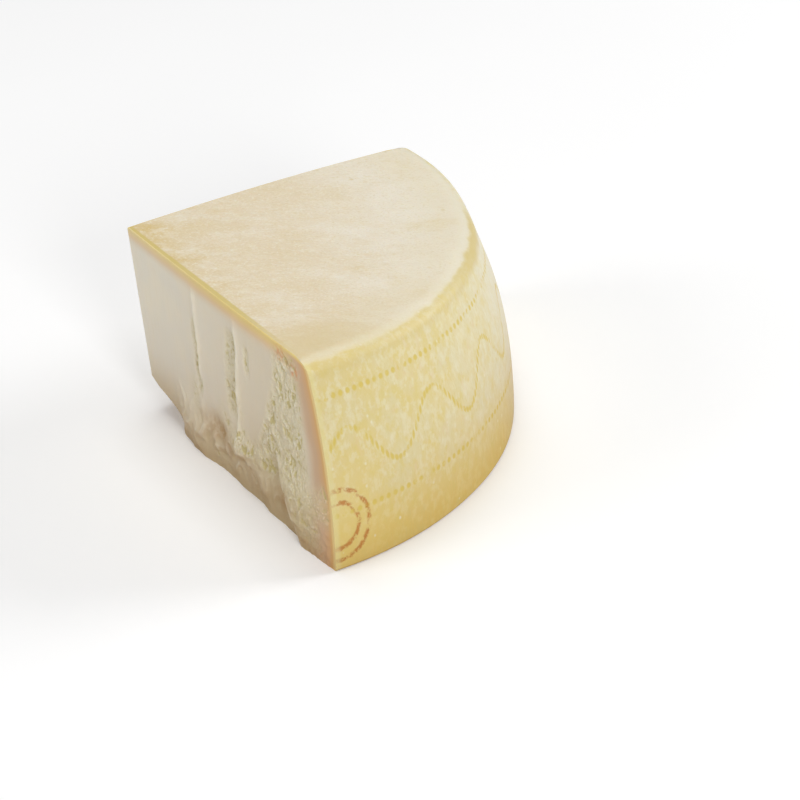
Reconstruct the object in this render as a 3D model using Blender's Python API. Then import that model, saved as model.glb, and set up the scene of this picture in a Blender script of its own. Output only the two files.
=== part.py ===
"""A block of hard aged cheese: a quarter of a drum-shaped wheel, sawn level at the wheel's middle.

Units are metres and +Z is up.  The block stands on the level cut.  Its top is the wheel's flat
face and its round side is the upper half of the wheel's swelling side, so it leans in from the
base, the wheel's widest place, to the top.  Two upright cuts meet at the wheel's centre line (the
apex): the back cut runs along +X and the front cut towards -Y.  The front cut is partly sliced
and partly broken: two upright lips, a grainy strip beside the rind, crags along the foot and a
missing bottom corner below the apex.  The origin is the middle of the base.
"""

import math

import bmesh
import bpy
from mathutils import Vector, noise

MM = 0.001

# The wheel.
HEIGHT = 112 * MM  # half of the wheel's own height
EQUATOR_RADIUS = 217 * MM  # at the base
SIDE_DRAW_IN = 24.6 * MM  # how much smaller the radius is at the top
SIDE_CURVE = 1.94  # the draw-in grows with this power of the height
TOP_ROUNDING = 6.5 * MM  # downwards
TOP_ROUNDING_IN = 13 * MM
ROUNDING_POWER = 2.5  # over 2 joins the top and the side more softly than an ellipse
BASE_ROUNDING = 1.5 * MM
TOP_UNEVENNESS = 0.6 * MM
SIDE_UNEVENNESS = 0.7 * MM
SIDE_DENT = ((math.radians(-25), 100 * MM), (math.radians(11), 30 * MM), -2.0 * MM)  # by angle and height
RIND_THICKNESS = 7 * MM

# The two cuts, in plan.
APEX = Vector((-103.2 * MM, 106.7 * MM))  # top of the apex edge, from the middle of the base
APEX_DRAW_IN = Vector((8.2 * MM, -10.5 * MM))  # how far the foot of that edge stands in
CORNER_ANGLE = math.radians(92.9)
FRONT_TWIST = math.radians(2.0)  # how far the cut turns outward from its top to its foot
BACK_TWIST = math.radians(2.8)
FRONT_LENGTH = 190 * MM
FRONT_BOW = 0.8 * MM
BACK_BOW = 3.6 * MM

# The front cut's features, as (height, distance from the apex) down each line.
LIP_ONE = ((112 * MM, 72 * MM), (72 * MM, 71 * MM), (44 * MM, 67 * MM), (12 * MM, 66 * MM))
LIP_TWO = ((112 * MM, 117 * MM), (88 * MM, 117 * MM), (66 * MM, 113 * MM), (16 * MM, 107 * MM))
FORK = ((50 * MM, 67 * MM), (29 * MM, 54 * MM), (10 * MM, 47 * MM))
CRACK_ONE = ((86 * MM, 67 * MM), (66 * MM, 67 * MM), (38 * MM, 66 * MM))
CRACK_TWO = ((97 * MM, 112 * MM), (80 * MM, 108 * MM), (60 * MM, 104 * MM), (42 * MM, 105 * MM))
CRACK_THREE = ((94 * MM, 126 * MM), (76 * MM, 125 * MM))
GRAIN_EDGE = ((112 * MM, 158 * MM), (86 * MM, 154 * MM), (64 * MM, 144 * MM), (38 * MM, 129 * MM),
              (0.0, 134 * MM))
LEDGE = ((77 * MM, 10 * MM), (112 * MM, 22 * MM), (124 * MM, 14 * MM), (134 * MM, 8 * MM))
CREST = ((38 * MM, 152 * MM), (20 * MM, 161 * MM), (0.0, 173 * MM))
CRAG_TOP = 36 * MM  # the crags of the foot begin below this height
SLICE_DEPTHS = (1.0 * MM, 0.7 * MM, 0.9 * MM)  # of the three knife strokes, from the apex on
LIP_WIDTH = 3.6 * MM
LIP_HEIGHT = 1.2 * MM

# Mounds and hollows: the middle's (distance, height), the half sizes and how far each stands out.
FOOT_LUMP = ((54 * MM, 10 * MM), (20 * MM, 20 * MM), 3.2 * MM)
FOOT_HOLLOW = ((80 * MM, 26 * MM), (13 * MM, 8 * MM), -3.0 * MM)
FOOT_MOUND = ((111 * MM, 27 * MM), (18 * MM, 9 * MM), 2.6 * MM)
BACK_MOUND = ((112 * MM, 11 * MM), (22 * MM, 12 * MM), 2.4 * MM)

# The back cut's lip and furrow.
BACK_LIP = ((112 * MM, 66 * MM), (64 * MM, 76 * MM), (0.0, 72 * MM))
BACK_FURROW = ((96 * MM, 60 * MM), (60 * MM, 70 * MM), (26 * MM, 66 * MM))
BACK_SLICE_DEPTHS = (0.9 * MM, 1.1 * MM)
BACK_SLICES_END = 176 * MM

# The missing corner: how far it reaches along the front cut at each height.
CHIP = ((0.0, 36 * MM), (7 * MM, 37 * MM), (10 * MM, 34 * MM), (12 * MM, 27 * MM), (14 * MM, 18 * MM),
        (16 * MM, 8 * MM), (20 * MM, 0.0))
CHIP_ON_BACK = 0.6  # its reach along the back cut, as a share of that

# The mesh.
FRONT_STEPS = 80
RIM_STEPS = 26
BACK_STEPS = 28
SIDE_LEVELS = 30
LEVEL_CROWDING = 1.2  # over 1 sets the levels closer together near the foot
ROUNDING_ANGLES = (30, 55, 72, 84, 90)
TOP_RINGS = (0.94, 0.72, 0.4)


def clamp(value):
    return max(0.0, min(1.0, value))


def rise(value, start, end):
    """0 before start, 1 after end, and a smooth S between them."""
    t = clamp((value - start) / (end - start))
    return t * t * (3 - 2 * t)


def follow(line, place):
    """The second value of a line of (first, second) pairs, where the first is place."""
    pairs = sorted(line)
    if place <= pairs[0][0]:
        return pairs[0][1]
    for (a, value), (b, following) in zip(pairs, pairs[1:]):
        if place <= b:
            return value + (following - value) * (place - a) / (b - a)
    return pairs[-1][1]


def mound(s, z, feature):
    """A round mound or hollow at (s, z), near 0 past its half sizes."""
    middle, size, height = feature
    x = (s - middle[0]) / size[0]
    y = (z - middle[1]) / size[1]
    return height * math.exp(-1.5 * (x * x + y * y))


def rough(s, z, grain, seed):
    """Smooth noise from -1 to 1 on a cut face, whose lumps are about one grain across."""
    return noise.noise(Vector((s / grain, z / grain, seed)))


def crags(s, z, grain, seed):
    """Broken noise from about -1 to 1: rounded hollows that meet in sharp crests."""
    large = 1 - 2.6 * abs(rough(s, z * 0.8, grain, seed))
    small = 1 - 2.6 * abs(rough(s, z, grain * 0.5, seed + 7))
    return 0.7 * large + 0.3 * small


def lip(s, z, line, height):
    """An upright raised edge along a line, fading out at the line's ends."""
    seed = line[0][1] / MM
    wander = 1.1 * MM * rough(0.0, z, 13 * MM, seed)
    off = s - follow(line, z) - wander
    fade = rise(line[0][0] - z, 3 * MM, 14 * MM) * rise(z, line[-1][0], line[-1][0] + 16 * MM)
    return height * math.exp(-(off / LIP_WIDTH) ** 2) * fade


def furrow(s, z, line, width, depth, seed):
    """A broken furrow, from the line's lowest height to its highest."""
    off = s - follow(line, z) + 1.5 * MM * rough(s * 0.3, z, 10 * MM, seed)
    low = min(line)[0]
    high = max(line)[0]
    fade = rise(z, low - 4 * MM, low + 5 * MM) * rise(high - z, -3 * MM, 6 * MM)
    return -depth * math.exp(-(off / width) ** 4) * fade


def scallop(s, start, end):
    """The hollow of one knife stroke, 1 in its middle and 0 at its edges."""
    t = clamp((s - start) / (end - start))
    return 4 * t * (1 - t)


def front_relief(s, z):
    """How far the front cut stands out of its plane at distance s from the apex and height z."""
    one = follow(LIP_ONE, z)
    two = follow(LIP_TWO, z)
    grain_edge = follow(GRAIN_EDGE, z)
    below_rim = rise(HEIGHT - z, 3 * MM, 24 * MM)
    out = FRONT_BOW * scallop(s, 0.0, FRONT_LENGTH)
    out -= SLICE_DEPTHS[0] * scallop(s, 0.0, one) * below_rim
    out -= SLICE_DEPTHS[1] * scallop(s, one, two) * below_rim
    out -= SLICE_DEPTHS[2] * scallop(s, two, grain_edge) * below_rim
    out += lip(s, z, LIP_ONE, LIP_HEIGHT) * (0.5 + 0.5 * rise(z, 34 * MM, 60 * MM))
    out += lip(s, z, LIP_TWO, LIP_HEIGHT)
    out += lip(s, z, FORK, LIP_HEIGHT / 2)
    out += furrow(s, z, CRACK_ONE, 2.6 * MM, 1.0 * MM, 5)
    out += furrow(s, z, CRACK_TWO, 5.5 * MM, 1.6 * MM, 15)
    out += furrow(s, z, CRACK_THREE, 2.4 * MM, 0.7 * MM, 25)
    out += front_grain(s, z, grain_edge)
    return out + front_foot(s, z)


def front_grain(s, z, grain_edge):
    """The grainy strip beside the rind, a little sunk."""
    held = rise(s, grain_edge - 3 * MM, grain_edge + 5 * MM) * rise(182 * MM - s, 0.0, 9 * MM)
    held *= rise(z, 24 * MM, 42 * MM) * rise(HEIGHT - z, 2 * MM, 12 * MM)
    return held * (1.0 * MM * crags(s, z, 8 * MM, 31) - 0.8 * MM)


def front_foot(s, z):
    """The broken foot: a lump, a hollow beside it, a slab under a ledge and a crest near the rind."""
    crag_top = CRAG_TOP + 8 * MM * rough(s, 0.0, 25 * MM, 41)
    broken = rise(crag_top - z, 0.0, 14 * MM) * rise(s, 28 * MM, 42 * MM) * rise(182 * MM - s, 0.0, 20 * MM)
    broken *= 0.35 + 0.65 * rise(z, 2 * MM, 12 * MM)
    out = broken * 1.5 * MM * crags(s, z, 13 * MM, 43)
    out += mound(s, z, FOOT_LUMP) + mound(s, z, FOOT_HOLLOW) + mound(s, z, FOOT_MOUND)
    ledge = follow(LEDGE, s)
    slab = rise(s, 68 * MM, 88 * MM) * rise(136 * MM - s, 0.0, 6 * MM)
    undercut = 1.0 * MM + 0.7 * MM * rise(z, 2 * MM, ledge + 1 * MM)
    out -= undercut * slab * rise(ledge - z, -2 * MM, 4 * MM)
    crest = follow(CREST, z)
    shown = rise(46 * MM - z, 0.0, 16 * MM)
    recess = 1.0 * MM + 1.2 * MM * rise(z, 2 * MM, 12 * MM)
    out -= recess * rise(s, 132 * MM, 148 * MM) * rise(crest - s, 0.0, 3 * MM) * shown
    out += 2.8 * MM * rise(s, crest - 2 * MM, crest + 2 * MM) * clamp((204 * MM - s) / (28 * MM)) * shown
    beyond_crest = rise(s, crest, crest + 6 * MM) * shown
    return out + 0.4 * MM * beyond_crest * crags(s, z, 5 * MM, 49)


def back_relief(s, z):
    """The same for the back cut: two broad scallops, a lip between them and a rough lower half."""
    middle = follow(BACK_LIP, z)
    below_rim = rise(HEIGHT - z, 3 * MM, 24 * MM)
    out = BACK_BOW * scallop(s, 0.0, FRONT_LENGTH)
    out -= BACK_SLICE_DEPTHS[0] * scallop(s, 0.0, middle) * below_rim
    out -= BACK_SLICE_DEPTHS[1] * scallop(s, middle, BACK_SLICES_END) * below_rim
    out += lip(s, z, BACK_LIP, LIP_HEIGHT)
    out += furrow(s, z, BACK_FURROW, 4 * MM, 1.2 * MM, 55)
    crag_top = 42 * MM + 12 * MM * rough(s, 0.0, 38 * MM, 61)
    broken = rise(crag_top - z, 0.0, 18 * MM) * rise(s, 16 * MM, 34 * MM) * rise(178 * MM - s, 0.0, 20 * MM)
    out += broken * (1.5 * MM * crags(s, z, 17 * MM, 63) - 0.5 * MM)
    return out + mound(s, z, BACK_MOUND)


def side_radius(z):
    """Radius of the round side at height z, rounded over at the base and at the top."""
    plain = EQUATOR_RADIUS - SIDE_DRAW_IN * (z / HEIGHT) ** SIDE_CURVE
    if z < BASE_ROUNDING:
        lost = BASE_ROUNDING - z
        return plain - BASE_ROUNDING + math.sqrt(BASE_ROUNDING ** 2 - lost ** 2)
    if z > HEIGHT - TOP_ROUNDING:
        lost = min(TOP_ROUNDING, z - (HEIGHT - TOP_ROUNDING))
        left = 1 - (lost / TOP_ROUNDING) ** ROUNDING_POWER
        return plain - TOP_ROUNDING_IN * (1 - left ** (1 / ROUNDING_POWER))
    return plain


def meet_side(start, direction, radius):
    """Where a ray from start reaches the wheel's circle of this radius."""
    to_centre = APEX - start
    along = to_centre.dot(direction)
    return start + direction * (along + math.sqrt(along ** 2 - to_centre.length_squared + radius ** 2))


def cut_line(start, end, z, steps, relief, outward):
    """Points from start to just before end, pushed out by the relief, which fades into the rind."""
    length = (end - start).length
    points = []
    for step in range(steps):
        s = length * step / steps
        held = rise(length - s, 0.0, RIND_THICKNESS)
        points.append(start.lerp(end, step / steps) + outward * relief(s, z) * held)
    return points


def point_along(line, distance):
    """The point of a cut line at a distance from its start."""
    start = line[0]
    for near, far in zip(line, line[1:]):
        if (far - start).length >= distance:
            gone = (near - start).length
            return near.lerp(far, (distance - gone) / ((far - start).length - gone))
    return line[-1].copy()


def lose_corner(front, back, z):
    """Draws the points near the apex back to the broken face of the missing corner."""
    reach = follow(CHIP, z) * (1 + 0.06 * rough(z, 0.0, 5 * MM, 71))
    if reach <= 0:
        return
    front_end = point_along(front, reach)
    back_end = point_along(back, reach * CHIP_ON_BACK)
    middle = front_end.lerp(back_end, 0.5)
    for line, limit, end in ((front, reach, front_end), (back, reach * CHIP_ON_BACK, back_end)):
        start = line[0].copy()
        for index, point in enumerate(line):
            share = (point - start).length / limit
            if share < 1:
                line[index] = middle.lerp(end, share)


def outline(z):
    """The wedge's closed outline at height z, anticlockwise from the apex."""
    down = 1 - z / HEIGHT
    apex = APEX + APEX_DRAW_IN * down
    front_angle = -CORNER_ANGLE - FRONT_TWIST * down
    front_way = Vector((math.cos(front_angle), math.sin(front_angle)))
    back_angle = BACK_TWIST * down
    back_way = Vector((math.cos(back_angle), math.sin(back_angle)))
    radius = side_radius(z)
    front_end = meet_side(apex, front_way, radius)
    back_end = meet_side(apex, back_way, radius)
    front_out = Vector((front_way.y, -front_way.x))
    back_out = Vector((-back_way.y, back_way.x))
    front = cut_line(apex, front_end, z, FRONT_STEPS, front_relief, front_out)
    back = cut_line(apex, back_end, z, BACK_STEPS, back_relief, back_out)
    front[0] = apex.copy()
    back[0] = apex.copy()
    lose_corner(front, back, z)
    first = math.atan2(*(front_end - APEX).yx)
    last = math.atan2(*(back_end - APEX).yx)
    rim = []
    for step in range(RIM_STEPS + 1):
        angle = first + (last - first) * step / RIM_STEPS
        swell = SIDE_UNEVENNESS * noise.noise(Vector((angle * 3, z / (50 * MM), 81)))
        swell += mound(angle, z, SIDE_DENT)
        swell *= rise(step, 0, 3) * rise(RIM_STEPS - step, 0, 3)
        rim.append(APEX + Vector((math.cos(angle), math.sin(angle))) * (radius + swell))
    return front + rim + back[:0:-1]


def heights():
    """The levels of the outline, from the base up and round the top rim."""
    straight = HEIGHT - TOP_ROUNDING
    levels = [straight * (step / SIDE_LEVELS) ** LEVEL_CROWDING for step in range(SIDE_LEVELS + 1)]
    for angle in ROUNDING_ANGLES:
        levels.append(straight + TOP_ROUNDING * math.sin(math.radians(angle)))
    return levels


def top_height(point, z):
    """A height near the top, lifted or lowered by the top's slight unevenness."""
    lift = TOP_UNEVENNESS * noise.noise(Vector((point.x / (70 * MM), point.y / (70 * MM), 91)))
    return z + lift * rise(z, HEIGHT - 8 * MM, HEIGHT)


def add_ring(mesh, points, z):
    return [mesh.verts.new((p.x, p.y, top_height(p, z))) for p in points]


def bridge(mesh, lower, upper):
    count = len(lower)
    for i in range(count):
        j = (i + 1) % count
        mesh.faces.new((lower[i], lower[j], upper[j], upper[i]))


def wedge_mesh():
    """One closed skin: outlines stacked from the base to the top, then rings that close the top."""
    mesh = bmesh.new()
    rings = [add_ring(mesh, outline(z), z) for z in heights()]
    edge = outline(HEIGHT)
    middle = sum(edge, Vector((0.0, 0.0))) / len(edge)
    for share in TOP_RINGS:
        rings.append(add_ring(mesh, [middle.lerp(p, share) for p in edge], HEIGHT))
    for lower, upper in zip(rings, rings[1:]):
        bridge(mesh, lower, upper)
    hub = add_ring(mesh, [middle], HEIGHT)[0]
    last = rings[-1]
    for i, vertex in enumerate(last):
        mesh.faces.new((vertex, last[(i + 1) % len(last)], hub))
    base = mesh.faces.new(rings[0][::-1])
    bmesh.ops.triangulate(mesh, faces=[base])
    bmesh.ops.recalc_face_normals(mesh, faces=mesh.faces)
    return mesh


def cheese_material():
    """Pale aged cheese with a waxy, slightly uneven look."""
    material = bpy.data.materials.new("aged_cheese")
    material.use_nodes = True
    shader = material.node_tree.nodes["Principled BSDF"]
    shader.inputs["Base Color"].default_value = (0.80, 0.70, 0.42, 1.0)
    shader.inputs["Roughness"].default_value = 0.55
    shader.inputs["Metallic"].default_value = 0.0
    shader.inputs["Subsurface Weight"].default_value = 0.1
    return material


def make_wedge():
    mesh = bpy.data.meshes.new("cheese_wedge")
    skin = wedge_mesh()
    skin.to_mesh(mesh)
    skin.free()
    mesh.shade_smooth()
    mesh.set_sharp_from_angle(angle=math.radians(40))
    mesh.materials.append(cheese_material())
    wedge = bpy.data.objects.new("cheese_wedge", mesh)
    bpy.context.scene.collection.objects.link(wedge)


def main():
    for old in list(bpy.data.objects):
        bpy.data.objects.remove(old, do_unlink=True)
    make_wedge()


main()
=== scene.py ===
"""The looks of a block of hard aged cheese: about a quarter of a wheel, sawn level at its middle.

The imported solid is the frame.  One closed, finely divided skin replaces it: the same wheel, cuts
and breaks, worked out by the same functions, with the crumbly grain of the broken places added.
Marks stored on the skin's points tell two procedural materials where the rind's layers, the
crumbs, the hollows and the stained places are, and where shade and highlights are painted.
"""

import math

import bpy
from mathutils import Matrix, Vector, noise

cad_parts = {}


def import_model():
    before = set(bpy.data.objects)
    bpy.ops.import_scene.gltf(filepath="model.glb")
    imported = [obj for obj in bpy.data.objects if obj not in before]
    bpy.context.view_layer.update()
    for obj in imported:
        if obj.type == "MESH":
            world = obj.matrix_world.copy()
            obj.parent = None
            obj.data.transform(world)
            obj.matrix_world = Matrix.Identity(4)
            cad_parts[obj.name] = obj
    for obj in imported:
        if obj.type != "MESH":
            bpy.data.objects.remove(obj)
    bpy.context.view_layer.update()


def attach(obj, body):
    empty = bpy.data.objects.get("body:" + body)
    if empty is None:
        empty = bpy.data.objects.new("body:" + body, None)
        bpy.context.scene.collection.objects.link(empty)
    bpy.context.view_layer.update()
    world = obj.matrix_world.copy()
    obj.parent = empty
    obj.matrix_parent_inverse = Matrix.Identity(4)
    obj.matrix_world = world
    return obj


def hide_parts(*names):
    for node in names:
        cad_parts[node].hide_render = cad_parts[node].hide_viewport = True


MM = 0.001


def in_mm(*pairs):
    """The pairs of a line, a place or a size, given in millimetres."""
    return tuple((first * MM, second * MM) for first, second in pairs)


def patch(middle, size, strength):
    """A mound, hollow or patch on a cut, with its middle and half sizes in millimetres."""
    return in_mm(middle, size) + (strength,)


# The wheel, as in the solid.
HEIGHT = 112 * MM
EQUATOR_RADIUS = 217 * MM
SIDE_DRAW_IN = 24.6 * MM  # how much smaller the radius is at the top
SIDE_CURVE = 1.94  # the draw-in grows with this power of the height
TOP_ROUNDING = 6.5 * MM  # downwards
TOP_ROUNDING_IN = 13 * MM
ROUNDING_POWER = 2.5  # over 2 joins the top and the side more softly than an ellipse
BASE_ROUNDING = 1.5 * MM
TOP_UNEVENNESS = 0.6 * MM
SIDE_UNEVENNESS = 0.7 * MM
SIDE_DENT = ((math.radians(-25), 100 * MM), (math.radians(11), 30 * MM), -2.0 * MM)  # by angle and height
RIND_THICKNESS = 7 * MM

# The two cuts, in plan.
APEX = Vector((-103.2 * MM, 106.7 * MM))
APEX_DRAW_IN = Vector((8.2 * MM, -10.5 * MM))
CORNER_ANGLE = math.radians(92.9)
FRONT_TWIST = math.radians(2.0)
BACK_TWIST = math.radians(2.8)
FRONT_LENGTH = 190 * MM
FRONT_BOW = 0.8 * MM
BACK_BOW = 3.6 * MM
EDGE_ROUNDING = 0.7 * MM  # where the cuts meet the top

# The front cut's features, as (height, distance from the apex) down each line.
LIP_ONE = in_mm((112, 72), (72, 71), (44, 67), (12, 66))
LIP_TWO = in_mm((112, 117), (88, 117), (66, 113), (16, 107))
FORK = in_mm((50, 67), (29, 54), (10, 47))
CRACK_ONE = in_mm((86, 67), (66, 67), (38, 66))
CRACK_TWO = in_mm((97, 112), (80, 108), (60, 104), (42, 105))
CRACK_THREE = in_mm((94, 126), (76, 125))
GRAIN_EDGE = in_mm((112, 158), (86, 154), (64, 144), (38, 129), (0, 134))
LEDGE = in_mm((77, 10), (112, 22), (124, 14), (134, 8))
CREST = in_mm((38, 152), (20, 161), (0, 173))
CRAG_TOP = 36 * MM  # the crags of the foot begin below this height
SLICE_DEPTHS = (1.0 * MM, 0.7 * MM, 0.9 * MM)  # of the three knife strokes, from the apex on

# Mounds and hollows: the middle's (distance, height), the half sizes and how far each stands out.
FOOT_LUMP = patch((54, 10), (20, 20), 3.2 * MM)
FOOT_HOLLOW = patch((80, 26), (13, 8), -3.0 * MM)
FOOT_MOUND = patch((111, 27), (18, 9), 2.6 * MM)
BACK_MOUND = patch((112, 11), (22, 12), 2.4 * MM)

# Patches of the cuts, laid out like the mounds, with the strength of the look at their middle.
CRUMBLY_PATCHES = (
    patch((78, 10), (4, 7), 0.7),
    patch((60, 38), (5, 14), 0.8),
    patch((110, 50), (6, 13), 0.5),
)
RIND_CORNER_STAINS = (
    patch((165, 107), (6, 5), 1.0),
    patch((178, 102), (7, 5), 1.0),
)
# Painted shade: the foot's hollow, its toe and the recess beside the crest.
FOOT_PAINTED_SHADE = (
    patch((83, 23), (19, 9), 1.0),
    patch((184, 2), (17, 10), 0.7),
    patch((154, 18), (8, 13), 1.0),
)
# A painted highlight on the foot's lump.
LUMP_HIGHLIGHT = patch((44, 9), (13, 10), 0.55)
BACK_STAIN = patch((70, 22), (18, 9), 0.4)

# The missing corner: how far it reaches along the front cut at each height.
CHIP = in_mm((0, 36), (7, 37), (10, 34), (12, 27), (14, 18), (16, 8), (20, 0))
CHIP_ON_BACK = 0.6  # its reach along the back cut, as a share of that

# The back cut's lip and furrow.
BACK_LIP = in_mm((112, 66), (64, 76), (0, 72))
BACK_FURROW = in_mm((96, 60), (60, 70), (26, 66))
BACK_SLICE_DEPTHS = (0.9 * MM, 1.1 * MM)
BACK_SLICES_END = 176 * MM

# How finely the skin is divided.
FRONT_STEPS = 290
RIM_STEPS = 90
BACK_STEPS = 100
SIDE_LEVELS = 170
LEVEL_CROWDING = 1.05  # over 1 sets the levels closer together near the foot
ROUNDING_ANGLES = (8, 17, 26, 34, 42, 49, 55, 61, 66, 71, 75, 79, 82, 84.5, 86.5, 88, 89.2, 90)
TOP_RINGS = (0.992, 0.975, 0.95, 0.91, 0.85, 0.76, 0.64, 0.5, 0.34, 0.17)
BASE_RINGS = (0.97, 0.85, 0.6, 0.3)
CREASE_ANGLE = math.radians(55)  # sharper edges than this stay crisp

# The crumbly places.
CRUMB = 2.6 * MM
PIT_DEPTH = 0.8 * MM
HOLLOW_REACH = 4  # in points of the skin: how far off the surroundings of a hollow are read

# The widths of the coloured bands on the cuts, beside the round side and under the top.
SIDE_BAND = 12 * MM
TOP_BAND = 7.6 * MM  # at the apex
TOP_BAND_WIDENING = 2.6 * MM  # from there to the round side
TOP_BAND_CURVE = 1.3  # the band widens with this power of the distance
FAR_FROM_RIND = 10.0  # in widths of the coloured band

MARKS = (
    "top_band", "side_band", "crumble", "pit", "hollow", "lit", "stain_and_shade", "rim_way", "from_cut", "along",
)
RIND = 0  # the skin's two materials
PASTE = 1
BRUSH_TURN = math.radians(35.6)  # which way the marks on the flat face run

# The prints on the round side.
DOT_SPACING_MM = 5.0
DOT_RADIUS_MM = 1.5
UPPER_ROW_MM = 94
LOWER_ROW_MM = 32
WAVE_MIDDLE_MM = 63
WAVE_HEIGHT_MM = 13
WAVE_LENGTH_MM = 66
WAVE_DOT_SPACING_MM = 3.0
WAVE_DOT_RADIUS_MM = 1.6
RING_ALONG_MM = 3
RING_HEIGHT_MM = 26
RING_RADII_MM = (20.0, 13.0)
RING_LINE_MM = 1.9

# The floor throws warm light back at the block within this radius, but looks pale all over.
WARM_FLOOR_RADIUS_MM = 170
WARM_FLOOR_FADE_MM = 20  # to either side of that radius
FLOOR_GLOW = 0.1  # as the camera sees it, keeps the floor near white
FLOOR_HALF = 6.0

# The softboxes: name, place, size and power.
SOFTBOXES = (
    ("raking_softbox", (-0.7, -2.25, 1.1), 0.7, 22.0),
    ("right_softbox", (2.0, -0.5, 1.2), 1.0, 22.0),
    ("left_softbox", (-2.1, 0.5, 1.2), 1.0, 13.5),
    ("top_softbox", (0.1, 0.7, 2.5), 1.4, 21.5),
)
SKY_STRENGTH = 0.25

# The colour sockets of a Mix node, which shares their names with its other kinds.
MIX_FIRST_COLOUR = 6
MIX_SECOND_COLOUR = 7
MIX_COLOUR_RESULT = 2

# The camera, solved from the photograph's outline; the frame is 800 x 800.
FRAME_PIXELS = 800
FOCAL_PIXELS = 3134.67
SENSOR_MM = 36.0
CAMERA_PLACE = Vector((-0.89446, -1.26115, 0.86946))
CAMERA_RIGHT = Vector((0.813536, -0.581515, 0.0))
CAMERA_AHEAD = Vector((0.509267, 0.712461, -0.482749))


# ---- shape helpers

def clamp(value):
    return max(0.0, min(1.0, value))


def rise(value, start, end):
    """0 before start, 1 after end, and a smooth S between them."""
    t = clamp((value - start) / (end - start))
    return t * t * (3 - 2 * t)


def follow(line, place):
    """The second value of a line of (first, second) pairs, where the first is place."""
    pairs = sorted(line)
    if place <= pairs[0][0]:
        return pairs[0][1]
    for (a, value), (b, following) in zip(pairs, pairs[1:]):
        if place <= b:
            return value + (following - value) * (place - a) / (b - a)
    return pairs[-1][1]


def bump(s, z, middle, size):
    """A round mound, 1 at its middle (s, z) and near 0 past its half sizes."""
    x = (s - middle[0]) / size[0]
    y = (z - middle[1]) / size[1]
    return math.exp(-1.5 * (x * x + y * y))


def mound(s, z, feature):
    """The height or strength of a round mound, hollow or patch at (s, z)."""
    middle, size, height = feature
    return height * bump(s, z, middle, size)


def rough(s, z, grain, seed):
    """Smooth noise from -1 to 1 on a cut face, whose lumps are about one grain across."""
    return noise.noise(Vector((s / grain, z / grain, seed)))


def crags(s, z, grain, seed):
    """Broken noise from about -1 to 1: rounded hollows that meet in sharp crests."""
    large = 1 - 2.6 * abs(rough(s, z * 0.8, grain, seed))
    small = 1 - 2.6 * abs(rough(s, z, grain * 0.5, seed + 7))
    return 0.7 * large + 0.3 * small


def crevices(s, z, size, seed):
    """1 in the gaps between crumbs of this size, 0 on the crumbs."""
    sway = 0.4 * rough(s, z, size * 1.6, seed)
    place = Vector((s / size + sway, z / (size * 1.45) - sway, seed))
    first, second = noise.voronoi(place)[0][:2]
    return 1 - rise(second - first, 0.02, 0.42)


def holes(s, z, size, seed, level):
    """1 inside ragged upright holes, 0 outside; a higher level leaves fewer of them."""
    value = rough(s, z * 0.6, size, seed) + 0.5 * rough(s, z * 0.8, size * 0.5, seed + 1)
    return rise(value, level, level + 0.3)


def wander(z, seed):
    """How far an upright line strays to either side at height z."""
    return 1.1 * MM * rough(0.0, z, 13 * MM, seed) + 0.5 * MM * rough(0.0, z, 4 * MM, seed + 1)


def lip(s, z, line, width, height):
    """An upright raised edge along a line, fading out at the line's ends."""
    off = s - follow(line, z) - wander(z, line[0][1] / MM)
    fade = rise(line[0][0] - z, 3 * MM, 14 * MM) * rise(z, line[-1][0], line[-1][0] + 16 * MM)
    fade *= 0.75 + 0.35 * rough(0.0, z, 7 * MM, line[0][1] / MM + 3)
    return height * math.exp(-(off / width) ** 2) * fade


def furrow(s, z, line, width, seed):
    """1 along a broken furrow, from the line's lowest height to its highest, 0 beside it."""
    off = s - follow(line, z) + 1.5 * MM * rough(s * 0.3, z, 10 * MM, seed)
    low = min(line)[0]
    high = max(line)[0]
    fade = rise(z, low - 4 * MM, low + 5 * MM) * rise(high - z, -3 * MM, 6 * MM)
    return math.exp(-(off / width) ** 4) * fade


def scallop(s, start, end):
    """The hollow of one knife stroke, 1 in its middle and 0 at its edges."""
    t = clamp((s - start) / (end - start))
    return 4 * t * (1 - t)


# ---- the front cut

def front_relief(s, z):
    """How far the front cut stands out of its plane at distance s from the apex and height z."""
    one = follow(LIP_ONE, z)
    two = follow(LIP_TWO, z)
    grain_edge = follow(GRAIN_EDGE, z)
    below_rim = rise(HEIGHT - z, 3 * MM, 24 * MM)
    out = FRONT_BOW * scallop(s, 0.0, FRONT_LENGTH)
    out -= SLICE_DEPTHS[0] * scallop(s, 0.0, one) * below_rim
    out -= SLICE_DEPTHS[1] * scallop(s, one, two) * below_rim
    out -= SLICE_DEPTHS[2] * scallop(s, two, grain_edge) * below_rim
    out += lip(s, z, LIP_ONE, 1.9 * MM, 1.0 * MM) * (0.5 + 0.5 * rise(z, 34 * MM, 60 * MM))
    out += lip(s, z, LIP_TWO, 2.1 * MM, 1.2 * MM)
    out += lip(s, z, FORK, 2.2 * MM, 0.5 * MM)
    out -= 1.0 * MM * furrow(s, z, CRACK_ONE, 2.6 * MM, 5)
    out -= 1.3 * MM * furrow(s, z, CRACK_TWO, 5.5 * MM, 15)
    out -= 0.7 * MM * furrow(s, z, CRACK_THREE, 2.4 * MM, 25)
    out += front_grain(s, z, grain_edge)
    return out + front_foot(s, z)


def front_grain(s, z, grain_edge):
    """The grainy strip beside the rind, a little sunk."""
    held = rise(s, grain_edge - 3 * MM, grain_edge + 5 * MM) * rise(182 * MM - s, 0.0, 9 * MM)
    held *= rise(z, 24 * MM, 42 * MM) * rise(HEIGHT - z, 2 * MM, 12 * MM)
    return held * (1.0 * MM * crags(s, z, 8 * MM, 31) - 0.8 * MM)


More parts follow.
